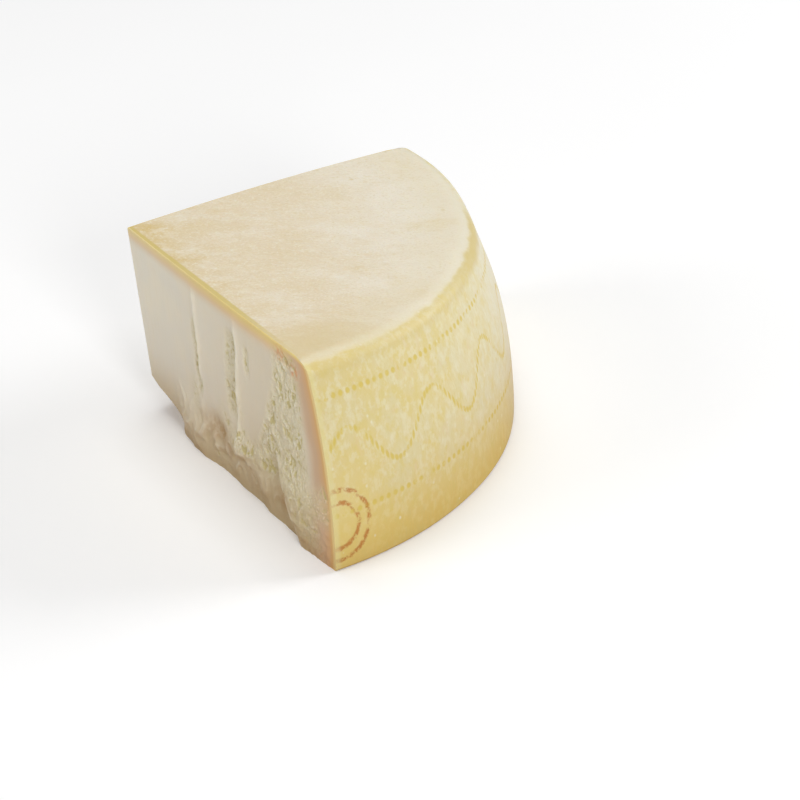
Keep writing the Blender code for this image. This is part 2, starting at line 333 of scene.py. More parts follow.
def front_foot(s, z):
    """The broken foot: a lump, a hollow beside it, a slab under a ledge and a crest near the rind."""
    crag_top = CRAG_TOP + 8 * MM * rough(s, 0.0, 25 * MM, 41)
    broken = rise(crag_top - z, 0.0, 14 * MM) * rise(s, 28 * MM, 42 * MM) * rise(182 * MM - s, 0.0, 20 * MM)
    broken *= 0.35 + 0.65 * rise(z, 2 * MM, 12 * MM)
    out = broken * 1.5 * MM * crags(s, z, 13 * MM, 43)
    out += mound(s, z, FOOT_LUMP) + mound(s, z, FOOT_HOLLOW) + mound(s, z, FOOT_MOUND)
    ledge = follow(LEDGE, s)
    slab = rise(s, 68 * MM, 88 * MM) * rise(136 * MM - s, 0.0, 6 * MM)
    undercut = 1.0 * MM + 0.7 * MM * rise(z, 2 * MM, ledge + 1 * MM)
    out -= undercut * slab * rise(ledge - z, -2 * MM, 4 * MM)
    crest = follow(CREST, z)
    shown = rise(46 * MM - z, 0.0, 16 * MM)
    recess = 1.0 * MM + 1.2 * MM * rise(z, 2 * MM, 12 * MM)
    out -= recess * rise(s, 132 * MM, 148 * MM) * rise(crest - s, 0.0, 3 * MM) * shown
    out += 2.8 * MM * rise(s, crest - 2 * MM, crest + 2 * MM) * clamp((204 * MM - s) / (28 * MM)) * shown
    beyond_crest = rise(s, crest, crest + 6 * MM) * shown
    return out + 0.4 * MM * beyond_crest * crags(s, z, 5 * MM, 49)


def front_crumble(s, z):
    """How crumbly the front cut is at a place, from 0 for a clean slice to 1."""
    grain_edge = follow(GRAIN_EDGE, z) + 2 * MM * rough(s, z, 7 * MM, 45)
    strip = rise(s, grain_edge - 4 * MM, grain_edge + 5 * MM) * rise(188 * MM - s, 0.0, 12 * MM)
    strip *= rise(z, 16 * MM, 32 * MM) * rise(HEIGHT - z, 1 * MM, 6 * MM)
    foot_top = 46 * MM + 14 * MM * rough(s, 0.0, 16 * MM, 47)
    foot = rise(s, 78 * MM, 104 * MM) * rise(foot_top - z, 0.0, 12 * MM) * rise(z, 18 * MM, 28 * MM) * 0.8
    furrows = max(
        0.9 * furrow(s, z, CRACK_ONE, 2.8 * MM, 5),
        furrow(s, z, CRACK_TWO, 6.5 * MM, 15),
        0.7 * furrow(s, z, CRACK_THREE, 2.6 * MM, 25),
        *(mound(s, z, place) for place in CRUMBLY_PATCHES),
    )
    crest = follow(CREST, z)
    toe = 0.6 * rise(s, crest + 2 * MM, crest + 10 * MM) * rise(198 * MM - s, 0.0, 8 * MM)
    toe *= rise(40 * MM - z, 0.0, 10 * MM) * rise(z, 1 * MM, 8 * MM)
    return clamp(max(strip, foot, furrows, toe))


def front_pit(s, z, crumble):
    """How deep a place lies between the crumbs, from 0 to 1."""
    if crumble < 0.03:
        return 0.0
    patchy = clamp(0.6 + 1.5 * rough(s, z * 0.7, 9 * MM, 61))
    small = holes(s, z, 1.8 * MM, 65, 0.1)
    large = holes(s, z, 3.8 * MM, 67, 0.2)
    return crumble * clamp(patchy * (0.8 * small + large) + 0.15 * crevices(s, z, CRUMB, 63))


def front_stain_and_shade(s, z):
    """Browned paste: stains beside the rind's corner, painted shade in the foot's hollow, toe and recess."""
    corner = sum(mound(s, z, stain_and_shade) for stain_and_shade in RIND_CORNER_STAINS)
    corner *= clamp(0.7 + 2.2 * rough(s, z, 2.6 * MM, 71))
    return clamp(corner + sum(mound(s, z, stain_and_shade) for stain_and_shade in FOOT_PAINTED_SHADE))


def front_lit(s, z):
    """Painted highlights on the crests of the lips and of the foot's edges, and on the foot's lump."""
    lips = lip(s, z, LIP_ONE, 1.2 * MM, 0.6) * rise(z, 30 * MM, 60 * MM) + lip(s, z, LIP_TWO, 1.4 * MM, 0.7)
    crest = math.exp(-((s - follow(CREST, z)) / (1.6 * MM)) ** 2) * rise(42 * MM - z, 0.0, 10 * MM)
    return clamp(lips + crest + mound(s, z, LUMP_HIGHLIGHT))


# ---- the back cut

def back_relief(s, z):
    """The same for the back cut: two broad scallops, a lip between them and a rough lower half."""
    middle = follow(BACK_LIP, z)
    below_rim = rise(HEIGHT - z, 3 * MM, 24 * MM)
    out = BACK_BOW * scallop(s, 0.0, FRONT_LENGTH)
    out -= BACK_SLICE_DEPTHS[0] * scallop(s, 0.0, middle) * below_rim
    out -= BACK_SLICE_DEPTHS[1] * scallop(s, middle, BACK_SLICES_END) * below_rim
    out += lip(s, z, BACK_LIP, 3 * MM, 1.4 * MM)
    out -= 1.2 * MM * furrow(s, z, BACK_FURROW, 4 * MM, 55)
    out += back_break(s, z) * (1.5 * MM * crags(s, z, 17 * MM, 63) - 0.5 * MM)
    return out + mound(s, z, BACK_MOUND)


def back_break(s, z):
    """How broken the back cut is, from 0 above to 1 in its rough lower half."""
    crag_top = 42 * MM + 12 * MM * rough(s, 0.0, 38 * MM, 61)
    return rise(crag_top - z, 0.0, 18 * MM) * rise(s, 16 * MM, 34 * MM) * rise(178 * MM - s, 0.0, 20 * MM)


def back_crumble(s, z):
    return max(0.6 * back_break(s, z), 0.9 * furrow(s, z, BACK_FURROW, 4.6 * MM, 55))


def back_pit(s, z, crumble):
    if crumble < 0.03:
        return 0.0
    patchy = clamp(0.5 + 1.2 * rough(s, z * 0.7, 9 * MM, 85))
    return crumble * clamp(patchy * holes(s, z, 3.6 * MM, 89, 0.12) + 0.3 * crevices(s, z, 3.4 * MM, 87))


def back_stain(s, z):
    return mound(s, z, BACK_STAIN)


def back_lit(s, z):
    # A painted highlight along the back lip's crest.
    return lip(s, z, BACK_LIP, 1.7 * MM, 0.9)


# ---- the outline at one height

def side_radius(z):
    """Radius of the round side at height z, rounded over at the base and at the top."""
    plain = EQUATOR_RADIUS - SIDE_DRAW_IN * (z / HEIGHT) ** SIDE_CURVE
    if z < BASE_ROUNDING:
        lost = BASE_ROUNDING - z
        return plain - BASE_ROUNDING + math.sqrt(BASE_ROUNDING ** 2 - lost ** 2)
    if z > HEIGHT - TOP_ROUNDING:
        lost = min(TOP_ROUNDING, z - (HEIGHT - TOP_ROUNDING))
        left = 1 - (lost / TOP_ROUNDING) ** ROUNDING_POWER
        return plain - TOP_ROUNDING_IN * (1 - left ** (1 / ROUNDING_POWER))
    return plain


def edge_loss(z):
    """How far the cuts draw back where they round over into the top."""
    lost = min(EDGE_ROUNDING, max(0.0, z - (HEIGHT - EDGE_ROUNDING)))
    return EDGE_ROUNDING - math.sqrt(EDGE_ROUNDING ** 2 - lost ** 2)


def meet_side(start, direction, radius):
    """Where a ray from start reaches the wheel's circle of this radius."""
    to_centre = APEX - start
    along = to_centre.dot(direction)
    return start + direction * (along + math.sqrt(along ** 2 - to_centre.length_squared + radius ** 2))


def rind_bands(s, z, length):
    """How deep a place on a cut lies under the top and beside the round side.

    Both are shares of the coloured band's width.  The band under the top is narrow near the apex
    and widens towards the round side.
    """
    sway = 1 + 0.15 * rough(s, z, 14 * MM, 93)
    under_top = (HEIGHT - z) / (TOP_BAND + TOP_BAND_WIDENING * (s / FRONT_LENGTH) ** TOP_BAND_CURVE)
    return under_top * sway, (length - s) / (SIDE_BAND * sway)


def cut_line(start, end, z, steps, face, outward):
    """Points and marks from start to just before end, pushed out by the face's relief."""
    relief, crumble_at, pit_at, stain_and_shade_at, lit_at = face
    length = (end - start).length
    points = []
    marks = []
    for step in range(steps):
        s = length * step / steps
        held = rise(length - s, 0.0, RIND_THICKNESS)
        crumble = crumble_at(s, z)
        pit = pit_at(s, z, crumble)
        out = (relief(s, z) - PIT_DEPTH * pit) * held
        points.append(start.lerp(end, step / steps) + outward * out)
        top_band, side_band = rind_bands(s, z, length)
        marks.append({
            "top_band": top_band, "side_band": side_band, "crumble": crumble * held,
            "pit": pit * held, "relief": out, "stain_and_shade": stain_and_shade_at(s, z), "lit": lit_at(s, z),
            "rim_way": (length - s) / MM, "along": s / MM,
        })
    return points, marks


def point_along(line, distance):
    """The point of a cut line at a distance from its start."""
    start = line[0]
    for near, far in zip(line, line[1:]):
        if (far - start).length >= distance:
            gone = (near - start).length
            return near.lerp(far, (distance - gone) / ((far - start).length - gone))
    return line[-1].copy()


def lose_corner(front, back, z):
    """Draws the points near the apex back to the broken face of the missing corner."""
    reach = follow(CHIP, z) * (1 + 0.06 * rough(z, 0.0, 5 * MM, 71))
    if reach <= 0:
        return
    front_end = point_along(front, reach)
    back_end = point_along(back, reach * CHIP_ON_BACK)
    middle = front_end.lerp(back_end, 0.5)
    for line, limit, end in ((front, reach, front_end), (back, reach * CHIP_ON_BACK, back_end)):
        start = line[0].copy()
        for index, point in enumerate(line):
            share = (point - start).length / limit
            if share < 1:
                line[index] = middle.lerp(end, share)


def rim_line(first, last, radius, z):
    """Points and marks round the wheel's side, from the front cut to the back one."""
    points = []
    marks = []
    for step in range(RIM_STEPS + 1):
        angle = first + (last - first) * step / RIM_STEPS
        swell = SIDE_UNEVENNESS * noise.noise(Vector((angle * 3, z / (50 * MM), 81)))
        swell += mound(angle, z, SIDE_DENT)
        swell *= rise(step / RIM_STEPS, 0, 0.11) * rise(1 - step / RIM_STEPS, 0, 0.11)
        points.append(APEX + Vector((math.cos(angle), math.sin(angle))) * (radius + swell))
        along = (angle - first) * EQUATOR_RADIUS / MM
        marks.append({"rim_way": -past_flat(z) / MM, "along": along, "from_cut": along})
    return points, marks


def past_flat(z):
    """How far, outwards and down together, the side has come from the flat face's edge at height z."""
    return side_radius(z) - side_radius(HEIGHT) + HEIGHT - z


def outline(z):
    """The wedge's closed outline at height z, anticlockwise from the apex, with its marks."""
    down = 1 - z / HEIGHT
    apex = APEX + APEX_DRAW_IN * down
    front_angle = -CORNER_ANGLE - FRONT_TWIST * down
    front_way = Vector((math.cos(front_angle), math.sin(front_angle)))
    back_angle = BACK_TWIST * down
    back_way = Vector((math.cos(back_angle), math.sin(back_angle)))
    front_out = Vector((front_way.y, -front_way.x))
    back_out = Vector((-back_way.y, back_way.x))
    apex -= (front_out + back_out) * edge_loss(z)
    radius = side_radius(z)
    front_end = meet_side(apex, front_way, radius)
    back_end = meet_side(apex, back_way, radius)
    front_face = (front_relief, front_crumble, front_pit, front_stain_and_shade, front_lit)
    back_face = (back_relief, back_crumble, back_pit, back_stain, back_lit)
    front, front_marks = cut_line(apex, front_end, z, FRONT_STEPS, front_face, front_out)
    back, back_marks = cut_line(apex, back_end, z, BACK_STEPS, back_face, back_out)
    front[0] = apex.copy()
    back[0] = apex.copy()
    lose_corner(front, back, z)
    first = math.atan2(*(front_end - APEX).yx)
    last = math.atan2(*(back_end - APEX).yx)
    rim, rim_marks = rim_line(first, last, radius, z)
    return front + rim + back[:0:-1], front_marks + rim_marks + back_marks[:0:-1]


def heights():
    """The levels of the outline, from the base up and round the top rim."""
    straight = HEIGHT - TOP_ROUNDING
    levels = [straight * (step / SIDE_LEVELS) ** LEVEL_CROWDING for step in range(SIDE_LEVELS + 1)]
    for angle in ROUNDING_ANGLES:
        levels.append(straight + TOP_ROUNDING * math.sin(math.radians(angle)))
    return levels


def top_height(point, z):
    """A height near the top, lifted or lowered by the top's slight unevenness."""
    lift = TOP_UNEVENNESS * noise.noise(Vector((point.x / (70 * MM), point.y / (70 * MM), 91)))
    return z + lift * rise(z, HEIGHT - 8 * MM, HEIGHT)


# ---- the skin

def mark_hollows(rows):
    """Marks how far, in millimetres, each place on the cuts lies behind its surroundings."""
    for level, row in enumerate(rows):
        lower = rows[max(0, level - HOLLOW_REACH)]
        upper = rows[min(len(rows) - 1, level + HOLLOW_REACH)]
        for place, mark in enumerate(row):
            if "relief" in mark:
                left = row[place - HOLLOW_REACH]
                right = row[(place + HOLLOW_REACH) % len(row)]
                near = (left, right, lower[place], upper[place])
                around = [other.get("relief", mark["relief"]) for other in near]
                mark["hollow"] = (sum(around) / len(around) - mark["relief"]) / MM


class Skin:
    """The wedge's skin as it grows ring by ring."""

    def __init__(self):
        self.points = []
        self.faces = []
        self.materials = []
        self.marks = {name: [] for name in MARKS}

    def add_point(self, point, z, mark):
        self.points.append((point.x, point.y, top_height(point, z)))
        for name in MARKS:
            self.marks[name].append(mark.get(name, 0.0))
        return len(self.points) - 1

    def add_ring(self, points, z, marks):
        return [self.add_point(point, z, mark) for point, mark in zip(points, marks)]

    def bridge(self, lower, upper, materials):
        count = len(lower)
        for i in range(count):
            j = (i + 1) % count
            self.faces.append((lower[i], lower[j], upper[j], upper[i]))
            self.materials.append(materials[i])

    def close(self, ring, hub, material):
        count = len(ring)
        for i in range(count):
            self.faces.append((ring[i], ring[(i + 1) % count], hub))
            self.materials.append(material)


def from_rim(point, z):
    """Distance in from the wheel's side at height z."""
    return side_radius(z) - (point - APEX).length


def cap(skin, ring, edge, z, shares, material):
    """Closes the skin over one end with rings that shrink towards the middle of its outline."""
    middle = sum(edge, Vector((0.0, 0.0))) / len(edge)
    kinds = [material] * len(edge)
    for share in shares:
        points = [middle.lerp(p, share) for p in edge]
        following = skin.add_ring(points, z, [cap_mark(p, z) for p in points])
        skin.bridge(ring, following, kinds)
        ring = following
    skin.close(ring, skin.add_point(middle, z, cap_mark(middle, z)), material)


def from_front_cut(point):
    """Distance in from the front cut, on the top."""
    front_in = Vector((math.sin(CORNER_ANGLE), math.cos(CORNER_ANGLE)))
    return (point - APEX).dot(front_in)


def cap_mark(point, z):
    inward = from_rim(point, z)
    angle = math.atan2(*(point - APEX).yx)
    return {
        "rim_way": inward / MM,
        "along": (angle + CORNER_ANGLE) * EQUATOR_RADIUS / MM,
        "from_cut": max(0.0, from_front_cut(point)) / MM,
        "top_band": FAR_FROM_RIND,
        "side_band": max(0.0, inward / SIDE_BAND),
    }


def wedge_skin():
    """One closed skin: outlines stacked from the base to the top, with the two ends capped."""
    skin = Skin()
    side_kinds = [PASTE] * FRONT_STEPS + [RIND] * RIM_STEPS + [PASTE] * BACK_STEPS
    levels = heights()
    outlines = [outline(z) for z in levels]
    mark_hollows([marks for points, marks in outlines])
    rings = [skin.add_ring(points, z, marks) for z, (points, marks) in zip(levels, outlines)]
    for lower, upper in zip(rings, rings[1:]):
        skin.bridge(lower, upper, side_kinds)
    cap(skin, rings[-1], outlines[-1][0], HEIGHT, TOP_RINGS, RIND)
    cap(skin, rings[0][::-1], outlines[0][0][::-1], 0.0, BASE_RINGS, PASTE)
    return skin


def make_wedge(materials):
    skin = wedge_skin()
    mesh = bpy.data.meshes.new("cheese_wedge_skin")
    mesh.from_pydata(skin.points, [], skin.faces)
    mesh.polygons.foreach_set("material_index", skin.materials)
    for name, values in skin.marks.items():
        mesh.attributes.new(name, "FLOAT", "POINT").data.foreach_set("value", values)
    for material in materials:
        mesh.materials.append(material)
    mesh.shade_smooth()
    mesh.set_sharp_from_angle(angle=CREASE_ANGLE)
    wedge = bpy.data.objects.new("cheese_wedge_skin", mesh)
    bpy.context.scene.collection.objects.link(wedge)
    return wedge


# ---- materials

def tint(red, green, blue):
    """A linear colour from 8-bit display values."""
    def linear(value):
        share = value / 255
        return share / 12.92 if share <= 0.04045 else ((share + 0.055) / 1.055) ** 2.4
    return (linear(red), linear(green), linear(blue), 1.0)


class Nodes:
    """Short calls that build a material's node tree."""

    def __init__(self, name):
        self.material = bpy.data.materials.new(name)
        self.material.use_nodes = True
        self.tree = self.material.node_tree
        self.shader = self.tree.nodes["Principled BSDF"]
        coordinates = self.tree.nodes.new("ShaderNodeTexCoord")
        self.millimetres = self.scaled(coordinates.outputs["Object"], (1000, 1000, 1000))

    def put(self, socket, value):
        if isinstance(value, bpy.types.NodeSocket):
            self.tree.links.new(value, socket)
        else:
            socket.default_value = value

    def scaled(self, vector, scale, turn=0.0):
        """The vector turned about Z, then multiplied by a scale for each axis."""
        node = self.tree.nodes.new("ShaderNodeMapping")
        node.vector_type = "POINT"
        if turn:
            turner = self.tree.nodes.new("ShaderNodeVectorRotate")
            turner.rotation_type = "Z_AXIS"
            self.put(turner.inputs["Vector"], vector)
            turner.inputs["Angle"].default_value = turn
            vector = turner.outputs["Vector"]
        self.put(node.inputs["Vector"], vector)
        node.inputs["Scale"].default_value = scale
        return node.outputs["Vector"]

    def mark(self, name):
        node = self.tree.nodes.new("ShaderNodeAttribute")
        node.attribute_name = name
        return node.outputs["Fac"]

    def height(self):
        """Height above the base, in millimetres."""
        node = self.tree.nodes.new("ShaderNodeSeparateXYZ")
        self.put(node.inputs["Vector"], self.millimetres)
        return node.outputs["Z"]

    def slant(self, direction):
        """Distance along a direction, in millimetres."""
        node = self.tree.nodes.new("ShaderNodeVectorMath")
        node.operation = "DOT_PRODUCT"
        self.put(node.inputs[0], self.millimetres)
        node.inputs[1].default_value = direction
        return node.outputs["Value"]

    def noise(self, size, detail=3.0, roughness=0.5, turn=0.0, seed=0.0):
        """Noise near 0.5 with lumps of the given size (x, y, z) in millimetres."""
        node = self.tree.nodes.new("ShaderNodeTexNoise")
        node.noise_dimensions = "4D"
        vector = self.scaled(self.millimetres, tuple(1 / length for length in size), turn)
        self.put(node.inputs["Vector"], vector)
        node.inputs["W"].default_value = seed
        node.inputs["Scale"].default_value = 1.0
        node.inputs["Detail"].default_value = detail
        node.inputs["Roughness"].default_value = roughness
        return node.outputs["Fac"]

    def cells(self, size, seed, feature):
        """One feature of cells of the given size (x, y, z) in millimetres, as a share of a cell."""
        node = self.tree.nodes.new("ShaderNodeTexVoronoi")
        node.voronoi_dimensions = "4D"
        node.feature = feature
        vector = self.scaled(self.millimetres, tuple(1 / length for length in size))
        self.put(node.inputs["Vector"], vector)
        node.inputs["W"].default_value = seed
        node.inputs["Scale"].default_value = 1.0
        return node.outputs["Distance"]

    def spots(self, size, seed):
        """Distance from the nearest of scattered points."""
        return self.cells(size, seed, "F1")

    def gaps(self, size, seed):
        """Distance from the nearest border between cells: 0 on the border."""
        return self.cells(size, seed, "DISTANCE_TO_EDGE")

    def along(self, start, end):
        """0 before start and 1 after end, in millimetres along the cut or round the side."""
        return self.step(self.mark("along"), start, end)

    def math(self, operation, first, second=0.0):
        node = self.tree.nodes.new("ShaderNodeMath")
        node.operation = operation
        self.put(node.inputs[0], first)
        self.put(node.inputs[1], second)
        return node.outputs[0]

    def times(self, first, second):
        return self.math("MULTIPLY", first, second)

    def plus(self, first, second):
        return self.math("ADD", first, second)

    def reach(self, across, up):
        """The distance of a place that lies this far across and up."""
        return self.math("SQRT", self.plus(self.times(across, across), self.times(up, up)))

    def step(self, value, start, end):
        """0 before start, 1 after end, and a smooth S between; start may be the larger."""
        node = self.tree.nodes.new("ShaderNodeMapRange")
        node.interpolation_type = "SMOOTHSTEP"
        self.put(node.inputs["Value"], value)
        low, high = min(start, end), max(start, end)
        node.inputs["From Min"].default_value = low
        node.inputs["From Max"].default_value = high
        node.inputs["To Min"].default_value = 0.0 if start < end else 1.0
        node.inputs["To Max"].default_value = 1.0 if start < end else 0.0
        return node.outputs["Result"]

    def mix(self, share, first, second):
        node = self.tree.nodes.new("ShaderNodeMix")
        node.data_type = "RGBA"
        self.put(node.inputs["Factor"], share)
        self.put(node.inputs[MIX_FIRST_COLOUR], first)
        self.put(node.inputs[MIX_SECOND_COLOUR], second)
        return node.outputs[MIX_COLOUR_RESULT]

    def lay(self, colour, where, strength, over):
        """The colour with another laid over it, at this strength, where a share is 1."""
        return self.mix(self.times(where, strength), colour, over)

    def ramp(self, value, stops):
        node = self.tree.nodes.new("ShaderNodeValToRGB")
        node.color_ramp.interpolation = "EASE"
        elements = node.color_ramp.elements
        while len(elements) < len(stops):
            elements.new(0.5)
        for element, (place, colour) in zip(elements, stops):
            element.position = place
            element.color = colour
        self.put(node.inputs["Fac"], value)
        return node.outputs["Color"]

    def bump(self, height, distance, strength, below=None):
        node = self.tree.nodes.new("ShaderNodeBump")
        node.inputs["Strength"].default_value = strength
        node.inputs["Distance"].default_value = distance
        self.put(node.inputs["Height"], height)
        if below is not None:
            self.put(node.inputs["Normal"], below)
        return node.outputs["Normal"]


def finish(nodes, normal, roughness, specular, subsurface, radius):
    """Gives the shader its relief, its gloss and the light that soaks into the cheese."""
    nodes.put(nodes.shader.inputs["Normal"], normal)
    nodes.shader.inputs["Roughness"].default_value = roughness
    nodes.shader.inputs["Specular IOR Level"].default_value = specular
    nodes.shader.inputs["Subsurface Weight"].default_value = subsurface
    nodes.shader.inputs["Subsurface Radius"].default_value = radius
    nodes.shader.inputs["Subsurface Scale"].default_value = 2 * MM
    return nodes.material


def under_rind(nodes, paste):
    """The layers beneath the rind: yellow fading through orange under the top, tan at the side."""
    top_band = nodes.mark("top_band")
    side_band = nodes.mark("side_band")
    under_top = nodes.ramp(top_band, (
        (0.0, tint(231, 208, 138)),
        (0.14, tint(234, 208, 138)),
        (0.36, tint(234, 205, 148)),
        (0.6, tint(232, 203, 160)),
        (0.9, tint(231, 208, 176)),
    ))
    near_top = nodes.step(top_band, 1.4, 0.45)
    strength = nodes.times(near_top, nodes.plus(nodes.times(nodes.along(20, 130), 0.2), 0.8))
    colour = nodes.mix(strength, paste, under_top)
    tan = nodes.ramp(side_band, (
        (0.0, tint(238, 216, 152)),
        (0.14, tint(235, 205, 141)),
        (0.3, tint(223, 179, 118)),
        (0.52, tint(217, 177, 133)),
        (0.95, tint(211, 179, 146)),
    ))
    beside = nodes.times(nodes.step(side_band, 2.0, 0.9), nodes.step(top_band, 0.0, 0.3))
    return nodes.mix(beside, colour, tan)


def paste_colour(nodes):
    """Off-white within, browner towards the rind, with painted shade towards the foot and painted highlights
    on the crests, faintly streaked by the knife.
    """
    cloud = nodes.noise((22, 22, 30), detail=2.0, seed=1.0)
    paste = nodes.mix(nodes.step(cloud, 0.35, 0.65), tint(239, 230, 209), tint(235, 228, 211))
    paste = nodes.lay(paste, nodes.along(30, 160), 0.8, tint(226, 213, 188))
    near_rind = nodes.times(nodes.along(95, 155), nodes.step(nodes.height(), 62, 14))
    paste = nodes.lay(paste, near_rind, 0.6, tint(206, 188, 148))
    # Painted shade: browner and darker low down, towards the foot.
    paste = nodes.lay(paste, nodes.step(nodes.height(), 44, -6), 0.95, tint(203, 185, 146))
    streak = nodes.noise((1.6, 1.6, 34), seed=2.0)
    paste = nodes.lay(paste, nodes.step(streak, 0.5, 0.72), 0.2, tint(228, 216, 186))
    # Painted highlights where the lit mark is set: the crests and the foot's lump.
    return nodes.lay(paste, nodes.mark("lit"), 0.45, tint(246, 240, 224))


def crumbled_and_shaded(nodes, colour, crumb_gap):
    """The colour where the paste is broken: olive cream, painted highlights on crumbs and crests, olive
    painted shade in gaps, pits and hollows.
    """
    crumble = nodes.mark("crumble")
    colour = nodes.lay(colour, crumble, 0.45, tint(226, 216, 178))
    # Painted highlight on the crumbs' tops.
    crumbs = nodes.times(crumble, nodes.step(crumb_gap, 0.15, 0.35))
    colour = nodes.lay(colour, crumbs, 0.3, tint(246, 239, 216))
    # Painted shade, olive tinted, in the gaps between crumbs.
    patches = nodes.step(nodes.noise((6, 6, 9), detail=2.0, seed=8.0), 0.4, 0.65)
    creases = nodes.times(nodes.times(nodes.step(crumb_gap, 0.12, 0.0), patches), nodes.times(crumble, 0.4))
    colour = nodes.mix(creases, colour, tint(206, 191, 132))
    # Painted shade, olive tinted, in the pits.
    pits = nodes.step(nodes.mark("pit"), 0.15, 0.8)
    colour = nodes.lay(colour, pits, 0.75, tint(202, 187, 120))
    # Painted shade where a place lies behind its surroundings, painted highlight where it stands out.
    hollow = nodes.mark("hollow")
    colour = nodes.lay(colour, nodes.step(hollow, 0.08, 0.7), 0.45, tint(205, 190, 142))
    return nodes.lay(colour, nodes.step(hollow, -0.08, -0.6), 0.4, tint(246, 240, 220))


def stained_and_shaded(nodes, colour):
    """The colour with reddish stain flecks near the rind's corner and painted brown shade about the foot."""
    mottle = nodes.step(nodes.noise((3, 3, 4), detail=2.0, seed=9.0), 0.4, 0.6)
    stain_and_shade = nodes.times(nodes.mark("stain_and_shade"), nodes.plus(nodes.times(mottle, 0.35), 0.5))
    # Low down the brown is painted shade about the foot; higher up it is the reddish stain by the rind's
    # corner.
    brown = nodes.mix(nodes.step(nodes.height(), 40, 80), tint(188, 156, 112), tint(220, 150, 100))
    return nodes.mix(stain_and_shade, colour, brown)


def paste_material():
    """Dry, pale paste with layers under the rind, crumbs and olive pits where it is broken, and painted shade
    and highlights.
    """
    nodes = Nodes("cheese_paste")
    crumb_gap = nodes.gaps((2.0, 2.0, 3.0), seed=6.0)
    grain_gap = nodes.gaps((1.0, 1.0, 1.4), seed=7.0)
    colour = under_rind(nodes, paste_colour(nodes))
    colour = stained_and_shaded(nodes, crumbled_and_shaded(nodes, colour, crumb_gap))
    nodes.put(nodes.shader.inputs["Base Color"], colour)

    fine = nodes.noise((0.7, 0.7, 1.1), seed=4.0)
    knife = nodes.noise((1.3, 1.3, 45), detail=2.0, seed=5.0)
    normal = nodes.bump(knife, 0.35 * MM, 0.3)
    normal = nodes.bump(fine, 0.3 * MM, 0.3, normal)
    lumps = nodes.plus(nodes.step(crumb_gap, 0.0, 0.3), nodes.times(nodes.step(grain_gap, 0.0, 0.2), 0.4))
    normal = nodes.bump(nodes.times(nodes.mark("crumble"), lumps), 0.3 * MM, 0.7, normal)
    return finish(nodes, normal, roughness=0.62, specular=0.3, subsurface=0.1, radius=(1.0, 0.7, 0.4))


def top_colour(nodes):
    """The wheel's flat face: yellow near the point, whiter beyond, blotched, scratched and speckled."""
    cloud = nodes.noise((34, 26, 30), detail=4.0, roughness=0.6, seed=11.0)
    place = nodes.plus(nodes.slant((1.0, -0.4, 0.0)), nodes.times(nodes.plus(cloud, -0.5), 130.0))
    colour = nodes.mix(nodes.step(place, -160, -80), tint(219, 192, 128), tint(231, 215, 184))
    colour = nodes.mix(nodes.step(place, -80, 50), colour, tint(239, 231, 213))
    blotch = nodes.noise((8, 5, 6), detail=5.0, roughness=0.65, turn=BRUSH_TURN, seed=17.0)
    colour = nodes.lay(colour, nodes.step(blotch, 0.48, 0.66), 0.45, tint(242, 233, 211))
    tan = nodes.noise((10, 5, 6), detail=5.0, roughness=0.7, turn=BRUSH_TURN, seed=18.0)
    colour = nodes.lay(colour, nodes.step(tan, 0.5, 0.7), 0.35, tint(224, 204, 162))
    patches = nodes.noise((46, 22, 30), detail=5.0, roughness=0.6, turn=BRUSH_TURN, seed=20.0)
    colour = nodes.lay(colour, nodes.step(patches, 0.5, 0.64), 0.3, tint(244, 239, 226))
    colour = nodes.lay(colour, nodes.step(patches, 0.48, 0.34), 0.35, tint(227, 209, 165))
    scratch = nodes.noise((9, 0.7, 3), roughness=0.6, turn=BRUSH_TURN, seed=13.0)
    colour = nodes.lay(colour, nodes.step(scratch, 0.54, 0.7), 0.3, tint(245, 238, 217))
    grain = nodes.noise((1.4, 1.1, 1.2), roughness=0.6, turn=BRUSH_TURN, seed=15.0)
    colour = nodes.lay(colour, nodes.step(grain, 0.52, 0.68), 0.5, tint(247, 241, 223))
    colour = nodes.lay(colour, nodes.step(grain, 0.46, 0.3), 0.5, tint(216, 198, 156))
    specks = nodes.noise((2.6, 1.6, 2), roughness=0.6, turn=BRUSH_TURN, seed=19.0)
    specks = nodes.times(nodes.step(specks, 0.56, 0.68), nodes.step(blotch, 0.4, 0.6))
    colour = nodes.lay(colour, specks, 0.4, tint(216, 200, 136))
    spots = nodes.step(nodes.spots((13, 13, 13), seed=16.0), 0.15, 0.05)
    return nodes.lay(colour, spots, 0.4, tint(214, 192, 132))


